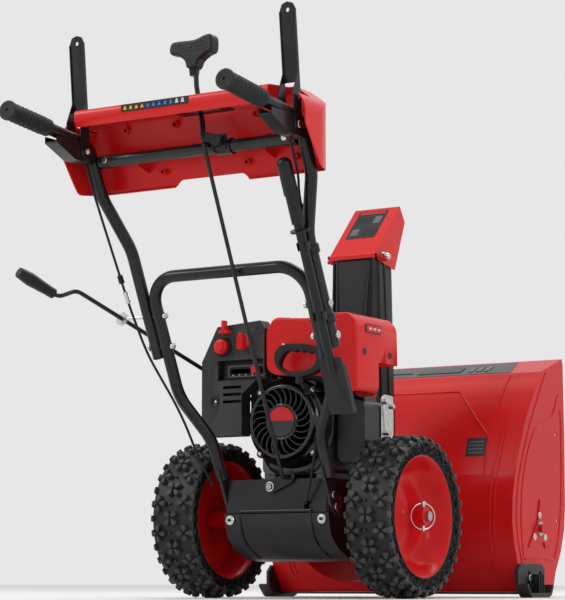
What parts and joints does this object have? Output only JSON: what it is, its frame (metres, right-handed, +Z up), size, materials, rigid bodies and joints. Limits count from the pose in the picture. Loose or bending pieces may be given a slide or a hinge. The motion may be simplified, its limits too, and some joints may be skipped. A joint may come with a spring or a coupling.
{
  "type": "two stage snowblower",
  "caption": "Walk-behind snow thrower with ribbon auger, impeller, turning chute, petrol engine, friction drive, lugged wheels and sloping handlebars.",
  "frame": {"origin": "on the ground, under the middle of the machine's box at rest", "axes": "+Y points forward to the auger, +X is the operator's right, +Z is up"},
  "size_m": [0.7422, 1.3216, 1.1252],
  "materials": {
    "red_paint": "gloss powder coat",
    "black_paint": "satin powder coat",
    "red_plastic": "gloss moulded",
    "black_gloss_plastic": "gloss moulded",
    "black_plastic": "fine textured moulded",
    "grey_plastic": "fine textured moulded",
    "soft_rubber": "matt",
    "tyre_rubber": "matt with dusty highlights",
    "steel": "machined",
    "zinc_steel": "zinc plated",
    "cast_aluminium": "as cast",
    "cast_iron": "as cast",
    "cord": "braided",
    "belt_rubber": "matt"
  },
  "bodies": {
    "machine": {"side_plates": "red_paint", "auger_housing": "red_paint", "impeller_housing": "red_paint", "scraper_bar": "black_paint", "skid_shoes": "black_plastic", "auger_gearbox": "cast_aluminium", "frame_box": "black_paint", "rear_plate": "black_paint", "bottom_cover": "black_paint", "shaft_bushes": "steel", "engine_block": "cast_aluminium", "recoil_cover": "black_gloss_plastic", "starter_cord": "cord", "control_panel": "grey_plastic", "engine_top_cover": "red_plastic", "fuel_tank": "black_plastic", "muffler": "black_paint", "belt_cover": "black_plastic", "drive_belts": "belt_rubber", "lower_handle": "black_paint", "handle_right": "black_paint", "handle_left": "black_paint", "crossbar": "black_paint", "handle_grips": "soft_rubber", "lever_brackets": "black_paint", "dash_panel": "red_plastic", "gate_plate": "black_paint", "shift_bracket": "black_paint", "crank_supports": "zinc_steel", "tool_clips": "black_plastic", "clutch_cables": "belt_rubber", "handle_bolts": "zinc_steel", "flange_bolts": "zinc_steel"},
    "wheels": {"drive_axle": "steel", "wheel_rims": "red_paint", "tyres": "tyre_rubber", "wheel_pins": "zinc_steel"},
    "hex_shaft": {"hex_shaft": "steel"},
    "friction_wheel": {"friction_wheel": "belt_rubber"},
    "friction_disc": {"friction_disc": "cast_aluminium"},
    "auger": {"auger": "red_paint"},
    "impeller": {"impeller": "red_paint"},
    "crankshaft": {"crankshaft": "cast_iron"},
    "auger_lever": {"auger_lever": "black_paint"},
    "drive_lever": {"drive_lever": "black_paint"},
    "shift_lever": {"shift_lever": "black_paint", "shift_knob": "black_plastic"},
    "shift_rod": {"shift_rod": "black_paint"},
    "shift_arm": {"shift_arm": "black_paint"},
    "chute": {"chute": "black_plastic"},
    "deflector": {"deflector": "red_plastic"},
    "crank_rod": {"crank_rod": "black_paint"},
    "crank_grip": {"crank_grip": "black_plastic"},
    "starter_handle": {"starter_handle": "black_plastic"},
    "choke_knob": {"choke_knob": "red_plastic"},
    "primer_button": {"primer_button": "red_plastic"},
    "throttle_slider": {"throttle_slider": "red_plastic"},
    "ignition_key": {"ignition_key": "red_plastic"},
    "fuel_cap": {"fuel_cap": "black_plastic"},
    "clean_out_tool": {"clean_out_tool": "black_plastic"}
  },
  "joints": [
    {"name": "wheel_spin", "type": "hinge", "parent": "machine", "child": "wheels", "pos_m": [0.03108, 0.03976, 0.165], "axis": [1, 0, 0], "continuous": true},
    {"name": "hex_spin", "type": "hinge", "parent": "machine", "child": "hex_shaft", "pos_m": [0.03108, -0.03124, 0.196], "axis": [1, 0, 0], "continuous": true},
    {"name": "friction_wheel_shift", "type": "slide", "parent": "hex_shaft", "child": "friction_wheel", "axis": [1, 0, 0], "range_m": [-0.022, 0.022]},
    {"name": "friction_disc_spin", "type": "hinge", "parent": "machine", "child": "friction_disc", "pos_m": [0.03108, 0.03976, 0.196], "axis": [0, 1, 0], "continuous": true},
    {"name": "auger_spin", "type": "hinge", "parent": "machine", "child": "auger", "pos_m": [0.03108, 0.51676, 0.15], "axis": [1, 0, 0], "continuous": true},
    {"name": "impeller_spin", "type": "hinge", "parent": "machine", "child": "impeller", "pos_m": [0.03108, 0.28976, 0.178], "axis": [0, 1, 0], "continuous": true},
    {"name": "crankshaft_spin", "type": "hinge", "parent": "machine", "child": "crankshaft", "pos_m": [0.03108, 0.03976, 0.361], "axis": [0, 1, 0], "continuous": true},
    {"name": "auger_lever_squeeze", "type": "hinge", "parent": "machine", "child": "auger_lever", "pos_m": [0.28008, -0.42824, 0.888], "axis": [1, 0, 0], "range_deg": [0, 60], "stiffness_Nm_per_rad": 1.2, "springref_deg": -34.38},
    {"name": "drive_lever_squeeze", "type": "hinge", "parent": "machine", "child": "drive_lever", "pos_m": [-0.21792, -0.42824, 0.888], "axis": [1, 0, 0], "range_deg": [0, 60], "stiffness_Nm_per_rad": 1.2, "springref_deg": -34.38},
    {"name": "speed_shift", "type": "hinge", "parent": "machine", "child": "shift_lever", "pos_m": [0.09908, -0.39624, 0.884], "axis": [0, 1, 0], "range_deg": [-16, 16]},
    {"name": "shift_rod_travel", "type": "slide", "parent": "machine", "child": "shift_rod", "axis": [0.017, -0.442, 0.8968], "range_m": [-0.0095, 0.0095]},
    {"name": "shift_arm_swing", "type": "hinge", "parent": "machine", "child": "shift_arm", "pos_m": [0.02008, -0.08224, 0.227], "axis": [0, 1, 0], "range_deg": [-12, 12]},
    {"name": "chute_turn", "type": "hinge", "parent": "machine", "child": "chute", "pos_m": [0.03108, 0.28376, 0.341], "axis": [0, 0, 1], "range_deg": [-95, 95]},
    {"name": "deflector_tilt", "type": "hinge", "parent": "chute", "child": "deflector", "pos_m": [0.03108, 0.27076, 0.742], "axis": [1, 0, 0], "range_deg": [-25, 12]},
    {"name": "crank_turn", "type": "hinge", "parent": "machine", "child": "crank_rod", "pos_m": [-0.07942, 0.28376, 0.341], "axis": [0.2828, 0.8752, -0.3925], "range_deg": [-765, 765]},
    {"name": "crank_grip_spin", "type": "hinge", "parent": "crank_rod", "child": "crank_grip", "pos_m": [-0.33027, -0.343, 0.61322], "axis": [0.2828, 0.8752, -0.3925], "continuous": true},
    {"name": "starter_pull", "type": "slide", "parent": "machine", "child": "starter_handle", "axis": [0.234, -0.9141, 0.331], "range_m": [0, 0.4]},
    {"name": "choke_turn", "type": "hinge", "parent": "machine", "child": "choke_knob", "pos_m": [-0.05892, -0.06024, 0.531], "axis": [0, 1, 0], "range_deg": [0, 90]},
    {"name": "primer_push", "type": "slide", "parent": "machine", "child": "primer_button", "axis": [0, 1, 0], "range_m": [0, 0.006], "stiffness_N_per_m": 400, "springref_m": -0.002},
    {"name": "throttle_slide", "type": "slide", "parent": "machine", "child": "throttle_slider", "axis": [1, 0, 0], "range_m": [-0.056, 0.005]},
    {"name": "key_pull", "type": "slide", "parent": "machine", "child": "ignition_key", "axis": [0, -1, 0], "range_m": [0, 0.03]},
    {"name": "fuel_cap_turn", "type": "hinge", "parent": "machine", "child": "fuel_cap", "pos_m": [0.09108, 0.07976, 0.575], "axis": [0, 0, 1], "range_deg": [0, 90]},
    {"name": "clean_out_tool_lift", "type": "slide", "parent": "machine", "child": "clean_out_tool", "axis": [0, -0.9033, -0.4291], "range_m": [0, 0.2]}
  ],
  "couplings": [
    {"joint": "hex_spin", "follows": "wheel_spin", "ratio": -4},
    {"joint": "impeller_spin", "follows": "auger_spin", "ratio": 10},
    {"joint": "shift_rod_travel", "follows": "speed_shift", "m_per_rad": 0.0301},
    {"joint": "shift_arm_swing", "follows": "speed_shift", "ratio": -0.675},
    {"joint": "friction_wheel_shift", "follows": "speed_shift", "m_per_rad": 0.0675},
    {"joint": "crank_turn", "follows": "chute_turn", "ratio": 8}
  ]
}
